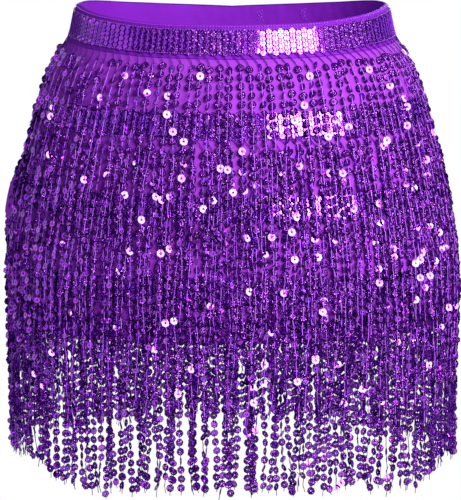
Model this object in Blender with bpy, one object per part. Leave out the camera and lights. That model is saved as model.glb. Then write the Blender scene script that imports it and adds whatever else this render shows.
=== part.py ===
"""Belly dance hip scarf: a pull-on stretch tube with four tiers of sequin tape and fringe.

The garment keeps the hollow shape that it has when it is worn. Front is -Y, left and right are X.
The origin is the middle of the waist opening, a little below the rim.
"""

import math

import bmesh
import bpy

MM = 0.001

# Cloth
RIM_HEIGHT = 12.0  # highest point of the rim over the origin
WALL = 1.6  # thickness of the jersey panels
BAND_WALL = 2.2  # thickness of the elastic waistband
BAND_DROP = 25.5  # lower edge of the waistband
HEM_DROP = 240.0  # lower edge of the panels
SEAM_GAP = 0.3  # room left between pieces that touch
WALL_STEPS = 56  # flat strips round the tube, half of them in each panel
PANEL_DROPS = (34.0, 48.0, 66.0, 86.0, 107.0, 129.0, 149.0, 170.0, 192.0, 212.0)

# Tapes, as the drop of the upper edge and of the lower edge on the wall
TAPES = (
    {"name": "waist_tape", "top": 3.5, "bottom": 22.0},
    {"name": "second_tape", "top": 66.0, "bottom": 86.0},
    {"name": "third_tape", "top": 129.0, "bottom": 149.0},
    {"name": "fourth_tape", "top": 192.0, "bottom": 212.0},
)
TAPE_THICK = 1.6

# Fringe: strands for each tier, hanging from a narrow heading strip under the tape
FRINGES = (
    {"name": "waist_fringe", "strands": 44},
    {"name": "second_fringe", "strands": 48},
    {"name": "third_fringe", "strands": 52},
    {"name": "fourth_fringe", "strands": 56},
)
HEADING = 2.5  # height of the heading strip
STRAND_LENGTH = 139.0
STRAND_UNEVEN = 4.0  # longest difference of a strand's end from the even length
STRAND_SWAY = 1.4  # sideways drift of a strand's end
STRAND_WIDE = 9.6
STRAND_THICK = 1.2
STRAND_OUT = 1.2  # middle of a strand from the wall at its root
TIER_STEP = 1.8  # further out that a strand lies for each tier beneath it
STRAND_DROPS = (34.0, 48.0, 66.0, 86.0, 129.0, 149.0, 170.0, 192.0, 212.0, 240.0)

# Sections of the worn tube by drop from the rim: half width, depth to the front, depth to the back
SECTIONS = (
    {"drop": 0.0, "half_width": 118.5, "front": 91.0, "back": 92.0},
    {"drop": 12.0, "half_width": 121.0, "front": 92.3, "back": 93.6},
    {"drop": 22.0, "half_width": 123.8, "front": 94.0, "back": 95.8},
    {"drop": 34.0, "half_width": 131.6, "front": 98.0, "back": 101.5},
    {"drop": 48.0, "half_width": 138.8, "front": 101.5, "back": 107.0},
    {"drop": 66.0, "half_width": 144.5, "front": 105.2, "back": 112.5},
    {"drop": 86.0, "half_width": 150.6, "front": 108.8, "back": 117.6},
    {"drop": 107.0, "half_width": 155.8, "front": 112.2, "back": 122.0},
    {"drop": 129.0, "half_width": 160.8, "front": 115.2, "back": 125.4},
    {"drop": 149.0, "half_width": 165.2, "front": 117.2, "back": 127.0},
    {"drop": 170.0, "half_width": 168.4, "front": 118.6, "back": 127.4},
    {"drop": 192.0, "half_width": 170.4, "front": 119.4, "back": 127.2},
    {"drop": 212.0, "half_width": 171.6, "front": 119.8, "back": 126.6},
    {"drop": 240.0, "half_width": 172.6, "front": 120.0, "back": 125.8},
    {"drop": 360.0, "half_width": 172.8, "front": 120.0, "back": 125.0},
)

# How far the rim lies under its highest point, by degrees round from the front
RIM_DIPS = (
    {"turn": 0.0, "dip": 11.0},
    {"turn": 30.0, "dip": 9.6},
    {"turn": 55.0, "dip": 5.4},
    {"turn": 80.0, "dip": 2.6},
    {"turn": 105.0, "dip": 0.9},
    {"turn": 130.0, "dip": 0.0},
    {"turn": 155.0, "dip": 2.2},
    {"turn": 180.0, "dip": 4.4},
)
DIP_FADE = 190.0  # drop at which rings of the tube are level again

# Largest soft folds: degrees round from the front to +X, drops they run between, rise, half spread
FOLDS = (
    {"turn": -88.0, "top": 108.0, "bottom": 196.0, "rise": 3.6, "spread": 24.0},
    {"turn": -50.0, "top": 150.0, "bottom": 420.0, "rise": 2.2, "spread": 15.0},
    {"turn": -16.0, "top": 165.0, "bottom": 420.0, "rise": 1.8, "spread": 14.0},
    {"turn": 21.0, "top": 150.0, "bottom": 420.0, "rise": 2.1, "spread": 15.0},
    {"turn": 57.0, "top": 160.0, "bottom": 420.0, "rise": 2.4, "spread": 16.0},
    {"turn": 94.0, "top": 140.0, "bottom": 420.0, "rise": 1.9, "spread": 16.0},
    {"turn": 128.0, "top": 150.0, "bottom": 420.0, "rise": 2.5, "spread": 15.0},
    {"turn": 163.0, "top": 165.0, "bottom": 420.0, "rise": 2.0, "spread": 15.0},
    {"turn": -161.0, "top": 155.0, "bottom": 420.0, "rise": 2.3, "spread": 15.0},
    {"turn": -124.0, "top": 160.0, "bottom": 420.0, "rise": 2.0, "spread": 16.0},
)
FOLD_EASE = 34.0  # drop over which a fold grows and dies away

FINISHES = {
    "violet_jersey": {"colour": (0.323, 0.036, 0.687, 1.0), "roughness": 0.62, "metallic": 0.0},
    "elastic_jersey": {"colour": (0.262, 0.027, 0.571, 1.0), "roughness": 0.58, "metallic": 0.0},
    "sequin_tape": {"colour": (0.101, 0.012, 0.292, 1.0), "roughness": 0.22, "metallic": 0.35},
    "sequin_strand": {"colour": (0.127, 0.014, 0.342, 1.0), "roughness": 0.24, "metallic": 0.35},
}


def clear_scene():
    """Remove whatever the scene holds."""
    for item in list(bpy.data.objects):
        bpy.data.objects.remove(item, do_unlink=True)


def make_material(name):
    """A Principled material from the table of finishes."""
    finish = FINISHES[name]
    material = bpy.data.materials.new(name)
    material.use_nodes = True
    shader = material.node_tree.nodes["Principled BSDF"]
    shader.inputs["Base Color"].default_value = finish["colour"]
    shader.inputs["Roughness"].default_value = finish["roughness"]
    shader.inputs["Metallic"].default_value = finish["metallic"]
    return material


def ease(share):
    """0 to 1 along a smooth step, held outside it."""
    share = min(max(share, 0.0), 1.0)
    return share * share * (3.0 - 2.0 * share)


def curve_through(rows, key, column, at):
    """Value of a table's column at a place, on a smooth curve through its rows."""
    last = len(rows) - 1
    step = max(i for i in range(last) if i == 0 or rows[i][key] <= at)
    here, after = rows[step], rows[step + 1]
    before = rows[max(step - 1, 0)]
    beyond = rows[min(step + 2, last)]
    span = after[key] - here[key]
    slope_here = (after[column] - before[column]) / (after[key] - before[key])
    slope_after = (beyond[column] - here[column]) / (beyond[key] - here[key])
    share = min(max((at - here[key]) / span, 0.0), 1.0)
    square, cube = share**2, share**3
    return (
        (2 * cube - 3 * square + 1) * here[column]
        + (cube - 2 * square + share) * span * slope_here
        + (3 * square - 2 * cube) * after[column]
        + (cube - square) * span * slope_after
    )


def turn_from_front(angle):
    """Degrees round from the front towards +X, from -180 to 180, for an angle counted from +X."""
    return (math.degrees(angle) + 270.0) % 360.0 - 180.0


def fold_rise(angle, drop):
    """How far the largest folds push the cloth out here."""
    rise = 0.0
    for fold in FOLDS:
        away = abs((turn_from_front(angle) - fold["turn"] + 180.0) % 360.0 - 180.0)
        if away < fold["spread"]:
            across = 0.5 + 0.5 * math.cos(math.pi * away / fold["spread"])
            grow = ease((drop - fold["top"]) / FOLD_EASE)
            fade = ease((fold["bottom"] - drop) / FOLD_EASE)
            rise += fold["rise"] * across * grow * fade
    return rise


def wall_height(angle, drop):
    """Height of a point of the tube, with the dip of the rim fading down the tube."""
    dip = curve_through(RIM_DIPS, "turn", "dip", abs(turn_from_front(angle)))
    return RIM_HEIGHT - drop - dip * max(0.0, 1.0 - drop / DIP_FADE)


def wall_axes(angle, drop):
    """Half width and depth of the tube's oval on the side that the angle lies on."""
    side = "front" if math.sin(angle) < 0 else "back"
    half_width = curve_through(SECTIONS, "drop", "half_width", drop)
    return half_width, curve_through(SECTIONS, "drop", side, drop)


def wall_point(angle, drop, out=0.0):
    """A point of the tube's outer face in metres, moved outwards by out millimetres."""
    half_width, depth = wall_axes(angle, drop)
    normal_x, normal_y = math.cos(angle) / half_width, math.sin(angle) / depth
    scale = (out + fold_rise(angle, drop)) / math.hypot(normal_x, normal_y)
    return (
        (half_width * math.cos(angle) + normal_x * scale) * MM,
        (depth * math.sin(angle) + normal_y * scale) * MM,
        wall_height(angle, drop) * MM,
    )


def along_oval(angle, drop, distance):
    """The angle that lies a distance in millimetres further round the oval."""
    half_width, depth = wall_axes(angle, drop)
    speed = math.hypot(half_width * math.sin(angle), depth * math.cos(angle))
    return angle + distance / speed


def even_angles(drop, count):
    """Angles that divide the oval at one drop into lengths as good as equal."""
    fine = 1440
    steps = [2 * math.pi * i / fine for i in range(fine)]
    lengths = [0.0]
    for start in steps:
        here = wall_point(start, drop)
        after = wall_point(start + 2 * math.pi / fine, drop)
        lengths.append(lengths[-1] + math.dist(here[:2], after[:2]))
    angles, step = [], 0
    for i in range(count):
        goal = lengths[-1] * i / count
        while lengths[step + 1] <= goal:
            step += 1
        share = (goal - lengths[step]) / (lengths[step + 1] - lengths[step])
        angles.append(2 * math.pi * (step + share) / fine)
    return angles


def finish_object(name, mesh_data, material):
    """Turn a bmesh into an object with its faces pointing out and its round sides smooth."""
    bmesh.ops.recalc_face_normals(mesh_data, faces=mesh_data.faces[:])
    mesh = bpy.data.meshes.new(name)
    mesh_data.to_mesh(mesh)
    mesh_data.free()
    mesh.materials.append(material)
    mesh.shade_smooth()
    mesh.set_sharp_from_angle(angle=math.radians(40))
    piece = bpy.data.objects.new(name, mesh)
    bpy.context.scene.collection.objects.link(piece)
    return piece


def skin(mesh_data, inner, outer, closed):
    """Close a wall between two grids of vertices, rows down and columns round."""
    rows, columns = len(outer), len(outer[0])
    around = columns if closed else columns - 1
    for row in range(rows - 1):
        for i in range(around):
            j = (i + 1) % columns
            mesh_data.faces.new((outer[row][i], outer[row + 1][i], outer[row + 1][j], outer[row][j]))
            mesh_data.faces.new((inner[row][i], inner[row][j], inner[row + 1][j], inner[row + 1][i]))
    for row in (0, rows - 1):
        for i in range(around):
            j = (i + 1) % columns
            mesh_data.faces.new((inner[row][i], inner[row][j], outer[row][j], outer[row][i]))
    if not closed:
        for i in (0, columns - 1):
            for row in range(rows - 1):
                mesh_data.faces.new((inner[row][i], outer[row][i], outer[row + 1][i], inner[row + 1][i]))


def make_ring(name, material, drops, near, far):
    """A closed ring round the tube from near to far millimetres off its outer face."""
    mesh_data = bmesh.new()
    angles = [2 * math.pi * i / WALL_STEPS for i in range(WALL_STEPS)]
    inner = [[mesh_data.verts.new(wall_point(a, drop, near)) for a in angles] for drop in drops]
    outer = [[mesh_data.verts.new(wall_point(a, drop, far)) for a in angles] for drop in drops]
    skin(mesh_data, inner, outer, closed=True)
    return finish_object(name, mesh_data, material)


def make_panel(name, material, first_angle):
    """Half of the body from one side seam to the other, just clear of the other half."""
    mesh_data = bmesh.new()
    steps = WALL_STEPS // 2
    inner, outer = [], []
    for drop in (BAND_DROP + SEAM_GAP, *PANEL_DROPS, HEM_DROP):
        start = along_oval(first_angle, drop, SEAM_GAP / 2)
        end = along_oval(first_angle + math.pi, drop, -SEAM_GAP / 2)
        even = [first_angle + math.pi * i / steps for i in range(1, steps)]
        angles = [start, *even, end]
        inner.append([mesh_data.verts.new(wall_point(a, drop, -WALL)) for a in angles])
        outer.append([mesh_data.verts.new(wall_point(a, drop)) for a in angles])
    skin(mesh_data, inner, outer, closed=False)
    return finish_object(name, mesh_data, material)


def heading_end(tier):
    """Drop at which a tier's strands leave their heading strip."""
    return TAPES[tier]["bottom"] + SEAM_GAP + HEADING


def tiers_beneath(tier, drop):
    """How many lower tiers a strand has climbed over at this drop, counting part of a climb."""
    climbed = 0.0
    for lower in range(tier + 1, len(TAPES)):
        start, end = heading_end(lower - 1), TAPES[lower]["top"]
        climbed += min(max((drop - start) / (end - start), 0.0), 1.0)
    return climbed


def strand_end(angle, drop, length):
    """Drop at which a strand of this length ends when it hangs down the tube's side."""
    step = 3.0
    here = wall_point(angle, drop)
    while length > 0:
        after = wall_point(angle, drop + step)
        part = math.dist(here, after) / MM
        drop += step * min(1.0, length / part)
        length -= part
        here = after
    return drop


def uneven(number):
    """A value from -1 to 1 that changes from strand to strand with no visible order."""
    return 0.6 * math.sin(2.39 * number) + 0.4 * math.sin(5.17 * number + 1.3)


def make_fringe(tier, material):
    """A heading strip round the tube with strands drawn down from it."""
    fringe = FRINGES[tier]
    mesh_data = bmesh.new()
    root = heading_end(tier)
    middles = even_angles(root, fringe["strands"])
    near, far = STRAND_OUT - STRAND_THICK / 2, STRAND_OUT + STRAND_THICK / 2
    edges = []
    for middle in middles:
        edges.append(along_oval(middle, root, -STRAND_WIDE / 2))
        edges.append(along_oval(middle, root, STRAND_WIDE / 2))
    drops = (root - HEADING, root)
    inner = [[mesh_data.verts.new(wall_point(a, drop, near)) for a in edges] for drop in drops]
    outer = [[mesh_data.verts.new(wall_point(a, drop, far)) for a in edges] for drop in drops]
    count = len(edges)
    for i in range(count):
        j = (i + 1) % count
        mesh_data.faces.new((outer[0][i], outer[1][i], outer[1][j], outer[0][j]))
        mesh_data.faces.new((inner[0][i], inner[0][j], inner[1][j], inner[1][i]))
        mesh_data.faces.new((inner[0][i], outer[0][i], outer[0][j], inner[0][j]))
        if i % 2:
            mesh_data.faces.new((inner[1][i], inner[1][j], outer[1][j], outer[1][i]))
        else:
            corners = (inner[1][i], inner[1][j], outer[1][j], outer[1][i])
            draw_strand(mesh_data, corners, tier, i // 2, middles[i // 2])
    return finish_object(fringe["name"], mesh_data, material)


def draw_strand(mesh_data, corners, tier, number, middle):
    """Draw one strand down from four corners of its heading strip to a closed end."""
    root = heading_end(tier)
    length = STRAND_LENGTH - HEADING + STRAND_UNEVEN * uneven(number + 7 * tier)
    end = strand_end(middle, root, length)
    ring = corners
    for drop in [d for d in STRAND_DROPS if root + 5 < d < end - 8] + [end]:
        share = (drop - root) / (end - root)
        drift = STRAND_SWAY * share * uneven(3 * number + tier)
        left = along_oval(middle, drop, drift - STRAND_WIDE / 2)
        right = along_oval(middle, drop, drift + STRAND_WIDE / 2)
        out = STRAND_OUT + TIER_STEP * tiers_beneath(tier, drop)
        near, far = out - STRAND_THICK / 2, out + STRAND_THICK / 2
        places = ((left, near), (right, near), (right, far), (left, far))
        below = [mesh_data.verts.new(wall_point(a, drop, offset)) for a, offset in places]
        for i in range(4):
            j = (i + 1) % 4
            mesh_data.faces.new((ring[i], ring[j], below[j], below[i]))
        ring = below
    mesh_data.faces.new(ring)


def build():
    """Make every piece of the hip scarf."""
    clear_scene()
    jersey = make_material("violet_jersey")
    elastic = make_material("elastic_jersey")
    tape_finish = make_material("sequin_tape")
    strand_finish = make_material("sequin_strand")
    band_drops = (0.0, TAPES[0]["top"], TAPES[0]["bottom"], BAND_DROP)
    make_ring("waistband", elastic, band_drops, -BAND_WALL, 0.0)
    make_panel("body_front", jersey, math.pi)
    make_panel("body_back", jersey, 0.0)
    for tier, tape in enumerate(TAPES):
        near, far = SEAM_GAP, SEAM_GAP + TAPE_THICK
        make_ring(tape["name"], tape_finish, (tape["top"], tape["bottom"]), near, far)
        make_fringe(tier, strand_finish)


build()
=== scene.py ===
"""Looks of a belly dance hip scarf: a stretch tube with four tiers of sequin tape and sequin fringe.

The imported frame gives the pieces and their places. Front is -Y, and lengths named in a comment or a
field as millimetres are turned to metres where a point is made.
"""

import logging
import math
import random
from dataclasses import dataclass
from enum import Enum
from functools import lru_cache

import bmesh
import bpy
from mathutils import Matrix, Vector, noise


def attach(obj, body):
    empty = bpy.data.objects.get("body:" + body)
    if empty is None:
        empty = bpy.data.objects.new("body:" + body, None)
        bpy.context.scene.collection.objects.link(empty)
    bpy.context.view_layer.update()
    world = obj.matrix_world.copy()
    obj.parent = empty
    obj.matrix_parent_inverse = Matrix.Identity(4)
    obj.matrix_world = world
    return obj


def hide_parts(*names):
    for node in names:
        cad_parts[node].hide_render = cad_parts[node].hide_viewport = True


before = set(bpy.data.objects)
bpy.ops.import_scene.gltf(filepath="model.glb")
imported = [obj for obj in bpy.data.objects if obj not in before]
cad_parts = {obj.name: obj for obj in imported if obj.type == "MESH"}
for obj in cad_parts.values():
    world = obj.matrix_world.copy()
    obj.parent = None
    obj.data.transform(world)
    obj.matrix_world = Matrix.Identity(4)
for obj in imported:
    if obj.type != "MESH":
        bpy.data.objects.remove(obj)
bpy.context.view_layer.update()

LOG = logging.getLogger("hip_scarf")
MM = 0.001
BODY = "root"
# The points of a guide line, each with the direction that points out of the cloth there
Line = list[tuple[Vector, Vector]]


class Side(Enum):
    """The two panels of the tube, named for the half of the oval that they cover."""

    FRONT = "front"
    BACK = "back"


@dataclass(frozen=True)
class Section:
    """One level of the worn tube, in millimetres: drop under the rim, half width, both depths."""

    drop: float
    half_width: float
    front: float
    back: float


@dataclass(frozen=True)
class RimDip:
    """How far the rim lies under its highest point, by degrees round from the front."""

    turn: float
    dip: float


@dataclass(frozen=True)
class Trim:
    """How much longer the strands are than usual, by degrees round from the front."""

    turn: float
    extra: float


@dataclass(frozen=True)
class Parting:
    """A place where the strands hang apart: degrees round, drops, reach and the greatest push."""

    turn: float
    top: float
    bottom: float
    reach: float
    push: float


@dataclass(frozen=True)
class Fold:
    """A soft fold that runs down the cloth: degrees round, drops, rise and half spread."""

    turn: float
    top: float
    bottom: float
    rise: float
    spread: float


SECTIONS = (
    Section(0.0, 118.5, 91.0, 92.0),
    Section(12.0, 121.0, 92.3, 93.6),
    Section(22.0, 123.8, 94.0, 95.8),
    Section(34.0, 131.6, 98.0, 101.5),
    Section(48.0, 138.8, 101.5, 107.0),
    Section(66.0, 144.5, 105.2, 112.5),
    Section(86.0, 150.6, 108.8, 117.6),
    Section(107.0, 155.8, 112.2, 122.0),
    Section(129.0, 160.8, 115.2, 125.4),
    Section(149.0, 165.2, 117.2, 127.0),
    Section(170.0, 168.4, 118.6, 127.4),
    Section(192.0, 170.4, 119.4, 127.2),
    Section(212.0, 171.6, 119.8, 126.6),
    Section(240.0, 172.6, 120.0, 125.8),
    Section(360.0, 172.8, 120.0, 125.0),
)

RIM_DIPS = (
    RimDip(0.0, 11.0),
    RimDip(30.0, 9.6),
    RimDip(55.0, 5.4),
    RimDip(80.0, 2.6),
    RimDip(105.0, 0.9),
    RimDip(130.0, 0.0),
    RimDip(155.0, 2.2),
    RimDip(180.0, 4.4),
)

LARGE_FOLDS = (
    Fold(-88.0, 108.0, 196.0, 3.6, 24.0),
    Fold(-50.0, 150.0, 420.0, 2.2, 15.0),
    Fold(-16.0, 165.0, 420.0, 1.8, 14.0),
    Fold(21.0, 150.0, 420.0, 2.1, 15.0),
    Fold(57.0, 160.0, 420.0, 2.4, 16.0),
    Fold(94.0, 140.0, 420.0, 1.9, 16.0),
    Fold(128.0, 150.0, 420.0, 2.5, 15.0),
    Fold(163.0, 165.0, 420.0, 2.0, 15.0),
    Fold(-161.0, 155.0, 420.0, 2.3, 15.0),
    Fold(-124.0, 160.0, 420.0, 2.0, 16.0),
)

# Soft creases that only the thin cloth has, under and between the tapes
SMALL_CREASES = (
    Fold(-64.0, 26.0, 62.0, -0.7, 4.0),
    Fold(-47.0, 30.0, 70.0, 0.6, 3.5),
    Fold(-33.0, 28.0, 80.0, -0.8, 4.5),
    Fold(-21.0, 32.0, 66.0, 0.7, 3.0),
    Fold(-11.0, 26.0, 74.0, -0.6, 3.5),
    Fold(-2.0, 30.0, 84.0, 0.8, 4.0),
    Fold(7.0, 28.0, 64.0, -0.7, 3.0),
    Fold(16.0, 31.0, 78.0, 0.6, 3.6),
    Fold(27.0, 27.0, 68.0, -0.8, 4.2),
    Fold(39.0, 30.0, 82.0, 0.7, 3.8),
    Fold(52.0, 28.0, 66.0, -0.6, 4.4),
    Fold(70.0, 30.0, 76.0, 0.6, 4.6),
    Fold(88.0, 27.0, 70.0, -0.7, 4.0),
    Fold(104.0, 30.0, 80.0, 0.7, 4.4),
    Fold(121.0, 28.0, 66.0, -0.8, 4.0),
    Fold(137.0, 31.0, 84.0, 0.6, 3.8),
    Fold(152.0, 27.0, 72.0, -0.7, 4.2),
    Fold(168.0, 30.0, 78.0, 0.8, 4.0),
    Fold(-177.0, 28.0, 68.0, -0.6, 3.6),
    Fold(-160.0, 31.0, 82.0, 0.7, 4.4),
    Fold(-143.0, 27.0, 66.0, -0.8, 4.0),
    Fold(-127.0, 30.0, 76.0, 0.6, 4.2),
    Fold(-110.0, 28.0, 72.0, -0.7, 4.4),
    Fold(-92.0, 31.0, 80.0, 0.7, 4.0),
    Fold(-84.0, 117.0, 170.0, 6.2, 11.0),
    Fold(-72.0, 96.0, 128.0, 0.8, 5.0),
    Fold(-38.0, 94.0, 126.0, -0.9, 4.6),
    Fold(-8.0, 96.0, 130.0, 0.8, 4.2),
    Fold(13.0, 94.0, 124.0, -0.8, 4.4),
    Fold(44.0, 97.0, 128.0, 0.9, 5.0),
    Fold(79.0, 94.0, 130.0, -0.8, 4.6),
    Fold(112.0, 96.0, 126.0, 0.8, 4.8),
    Fold(146.0, 94.0, 130.0, -0.9, 4.4),
    Fold(178.0, 97.0, 124.0, 0.8, 4.6),
    Fold(-150.0, 94.0, 128.0, -0.8, 5.0),
    Fold(-116.0, 96.0, 130.0, 0.9, 4.4),
)


def ease(share: float) -> float:
    """A smooth step from 0 to 1, held at its ends."""
    share = min(max(share, 0.0), 1.0)
    return share * share * (3.0 - 2.0 * share)


def curve_through(places: tuple[float, ...], values: tuple[float, ...], at: float) -> float:
    """Read a smooth curve that passes through the rows of a table.

    Args:
        places: where the rows lie, rising.
        values: what the rows hold.
        at: the place that is asked for.

    Returns:
        The value there, held at the end rows outside them.
    """
    last = len(places) - 1
    step = max(i for i in range(last) if i == 0 or places[i] <= at)
    before, beyond = max(step - 1, 0), min(step + 2, last)
    span = places[step + 1] - places[step]
    slope_here = (values[step + 1] - values[before]) / (places[step + 1] - places[before])
    slope_after = (values[beyond] - values[step]) / (places[beyond] - places[step])
    share = min(max((at - places[step]) / span, 0.0), 1.0)
    square, cube = share**2, share**3
    return (
        (2 * cube - 3 * square + 1) * values[step]
        + (cube - 2 * square + share) * span * slope_here
        + (3 * square - 2 * cube) * values[step + 1]
        + (cube - square) * span * slope_after
    )


@dataclass(frozen=True)
class Tube:
    """The outer face of the worn cloth, as a rule that every piece takes its points from.

    An angle is counted in radians from +X and a turn in degrees from the front towards +X. A drop
    is counted in millimetres down from the rim's highest point.
    """

    rim_height: float = 12.0
    dip_fade: float = 190.0
    side_lift: float = 3.2
    lift_fade: float = 44.0
    lift_first: float = 52.0
    lift_rise: float = 32.0
    lift_last: float = 138.0
    lift_fall: float = 34.0
    fold_ease: float = 34.0
    crease_ease: float = 14.0
    girth_steps: int = 720

    @staticmethod
    @lru_cache(maxsize=4096)
    def section(drop: float) -> tuple[float, float, float]:
        """Read the oval at a drop from the table of sections.

        Args:
            drop: how far down.

        Returns:
            Half width, front depth and back depth in millimetres.
        """
        drops = tuple(row.drop for row in SECTIONS)
        return (
            curve_through(drops, tuple(row.half_width for row in SECTIONS), drop),
            curve_through(drops, tuple(row.front for row in SECTIONS), drop),
            curve_through(drops, tuple(row.back for row in SECTIONS), drop),
        )

    @staticmethod
    def turn(angle: float) -> float:
        """Degrees round from the front towards +X, from -180 to 180."""
        return (math.degrees(angle) + 270.0) % 360.0 - 180.0

    @staticmethod
    @lru_cache(maxsize=16384)
    def rim_dip(turn: float) -> float:
        """Dip of the rim at a turn from the front."""
        turns = tuple(row.turn for row in RIM_DIPS)
        return curve_through(turns, tuple(row.dip for row in RIM_DIPS), abs(turn))

    def lift(self, turn: float, drop: float) -> float:
        """How much higher the stretched elastic rides at the sides.

        Args:
            turn: degrees round from the front.
            drop: how far down.

        Returns:
            The lift in millimetres, which is greatest at the rim.
        """
        away = abs(turn)
        share = ease((away - self.lift_first) / self.lift_rise)
        share *= ease((self.lift_last - away) / self.lift_fall)
        return self.side_lift * share * max(0.0, 1.0 - drop / self.lift_fade)

    def axes(self, angle: float, drop: float) -> tuple[float, float]:
        """Half width and depth of the oval on the side that the angle lies on."""
        half_width, front, back = self.section(round(drop, 2))
        return half_width, front if math.sin(angle) < 0 else back

    def folds(self, angle: float, drop: float, rows: tuple[Fold, ...], length: float) -> float:
        """How far a table of folds pushes the cloth out.

        Args:
            angle: where on the oval.
            drop: how far down.
            rows: the folds.
            length: drop over which each fold grows and dies away.

        Returns:
            The rise in millimetres.
        """
        turn, rise = self.turn(angle), 0.0
        for fold in rows:
            away = abs((turn - fold.turn + 180.0) % 360.0 - 180.0)
            if away < fold.spread and fold.top < drop < fold.bottom:
                across = 0.5 + 0.5 * math.cos(math.pi * away / fold.spread)
                grow = ease((drop - fold.top) / length)
                rise += fold.rise * across * grow * ease((fold.bottom - drop) / length)
        return rise

    def point(self, angle: float, drop: float, out: float = 0.0) -> Vector:
        """A point of the tube moved outwards.

        Args:
            angle: where on the oval.
            drop: how far down, in millimetres.
            out: distance from the cloth's outer face, in millimetres.

        Returns:
            The point in metres.
        """
        half_width, depth = self.axes(angle, drop)
        normal_x, normal_y = math.cos(angle) / half_width, math.sin(angle) / depth
        rise = out + self.folds(angle, drop, LARGE_FOLDS, self.fold_ease)
        scale = rise / math.hypot(normal_x, normal_y)
        turn = round(self.turn(angle), 1)
        dip = self.rim_dip(turn) * max(0.0, 1.0 - drop / self.dip_fade)
        height = self.rim_height - drop - dip + self.lift(turn, drop)
        x = half_width * math.cos(angle) + normal_x * scale
        y = depth * math.sin(angle) + normal_y * scale
        return Vector((x, y, height)) * MM

    def outward(self, angle: float, drop: float) -> Vector:
        """The level direction that points straight out of the cloth."""
        half_width, depth = self.axes(angle, drop)
        return Vector((math.cos(angle) / half_width, math.sin(angle) / depth, 0.0)).normalized()

    def shift(self, angle: float, drop: float, distance: float) -> float:
        """The angle that lies some way further round.

        Args:
            angle: where on the oval.
            drop: how far down.
            distance: how far round in millimetres, less than 0 for back.

        Returns:
            The new angle.
        """
        half_width, depth = self.axes(angle, drop)
        speed = math.hypot(half_width * math.sin(angle), depth * math.cos(angle))
        return angle + distance / speed

    def girth(self, drop: float) -> float:
        """Length round the tube in millimetres."""
        return self.lengths_round(drop)[-1]

    @lru_cache(maxsize=64)
    def lengths_round(self, drop: float) -> tuple[float, ...]:
        """Measure the way round the tube at even steps of angle.

        Args:
            drop: how far down.

        Returns:
            The running length in millimetres at each step, from 0 to the girth.
        """
        count = self.girth_steps
        points = [self.point(math.tau * i / count, drop) for i in range(count + 1)]
        lengths = [0.0]
        for here, after in zip(points, points[1:]):
            lengths.append(lengths[-1] + (after - here).length / MM)
        return tuple(lengths)

    def even_angles(self, drop: float, count: int) -> list[float]:
        """Divide the tube's girth into equal lengths.

        Args:
            drop: how far down.
            count: how many parts.

        Returns:
            The angle where each part starts.
        """
        lengths, angles, step = self.lengths_round(drop), [], 0
        for i in range(count):
            goal = lengths[-1] * i / count
            while lengths[step + 1] <= goal:
                step += 1
            share = (goal - lengths[step]) / (lengths[step + 1] - lengths[step])
            angles.append(math.tau * (step + share) / (len(lengths) - 1))
        return angles


@dataclass(frozen=True)
class Tier:
    """One tier: its tape's edges as drops, its strands, how their lengths vary and its CAD nodes."""

    name: str
    top: float
    bottom: float
    strands: int
    shortest: float
    longest: float

    @property
    def index(self) -> int:
        """The tier's place, counted from 0 at the waist."""
        return TIERS.index(self)

    @property
    def tape_node(self) -> str:
        """The CAD node of the tape."""
        return f"{self.name}_tape"

    @property
    def fringe_node(self) -> str:
        """The CAD node of the fringe."""
        return f"{self.name}_fringe"


TIERS = (
    Tier("waist", 3.5, 22.0, 104, -7.0, 4.5),
    Tier("second", 66.0, 86.0, 122, -6.0, 5.0),
    Tier("third", 129.0, 149.0, 132, -5.0, 18.0),
    Tier("fourth", 192.0, 212.0, 234, -5.0, 2.5),
)
BAND_DROP = 25.5
HEM_DROP = 240.0

STRAND_TRIMS = (
    Trim(-180.0, 0.0),
    Trim(-130.0, -3.0),
    Trim(-92.0, -9.0),
    Trim(-74.0, -9.0),
    Trim(-62.0, -13.0),
    Trim(-48.0, -2.0),
    Trim(-38.0, 1.5),
    Trim(-18.0, -3.5),
    Trim(8.0, -3.0),
    Trim(30.0, -3.0),
    Trim(42.0, 3.0),
    Trim(51.0, 4.0),
    Trim(61.0, -5.0),
    Trim(72.0, -9.0),
    Trim(84.0, -4.0),
    Trim(95.0, -3.5),
    Trim(130.0, 2.0),
    Trim(180.0, 0.0),
)

PARTINGS = (
    Parting(-84.0, 104.0, 190.0, 9.0, 6.0),
    Parting(-58.0, 262.0, 340.0, 5.0, 3.4),
    Parting(-8.0, 268.0, 345.0, 4.0, 3.0),
    Parting(33.0, 264.0, 336.0, 4.6, 3.2),
)


def srgb(code: str) -> tuple[float, float, float, float]:
    """Turn an sRGB hex colour into Blender's linear one.

    Args:
        code: six hex digits, with or without a leading #.

    Returns:
        Linear red, green, blue and an alpha of 1.
    """
    parts = [int(code.lstrip("#")[i : i + 2], 16) / 255 for i in (0, 2, 4)]
    linear = [c / 12.92 if c <= 0.04045 else ((c + 0.055) / 1.055) ** 2.4 for c in parts]
    return (*linear, 1.0)


def fill_inputs(node: bpy.types.Node, values: dict[str | int, object]) -> None:
    """Fill some of a node's inputs.

    Args:
        node: the node.
        values: each input by name or number, with the socket that feeds it or a plain value.
    """
    for key, value in values.items():
        if isinstance(value, bpy.types.NodeSocket):
            node.id_data.links.new(value, node.inputs[key])
        else:
            node.inputs[key].default_value = value


def add_node(
    tree: bpy.types.NodeTree,
    kind: str,
    links: dict[str | int, object] | None = None,
    **settings: object,
) -> bpy.types.Node:
    """Add a node with its settings, and fill its inputs.

    Args:
        tree: the tree that gets the node.
        kind: the node's type.
        links: what its inputs get, as fill_inputs takes it.
        **settings: the node's own properties, set before its inputs.

    Returns:
        The node.
    """
    node = tree.nodes.new(kind)
    for name, value in settings.items():
        setattr(node, name, value)
    fill_inputs(node, links or {})
    return node


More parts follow.
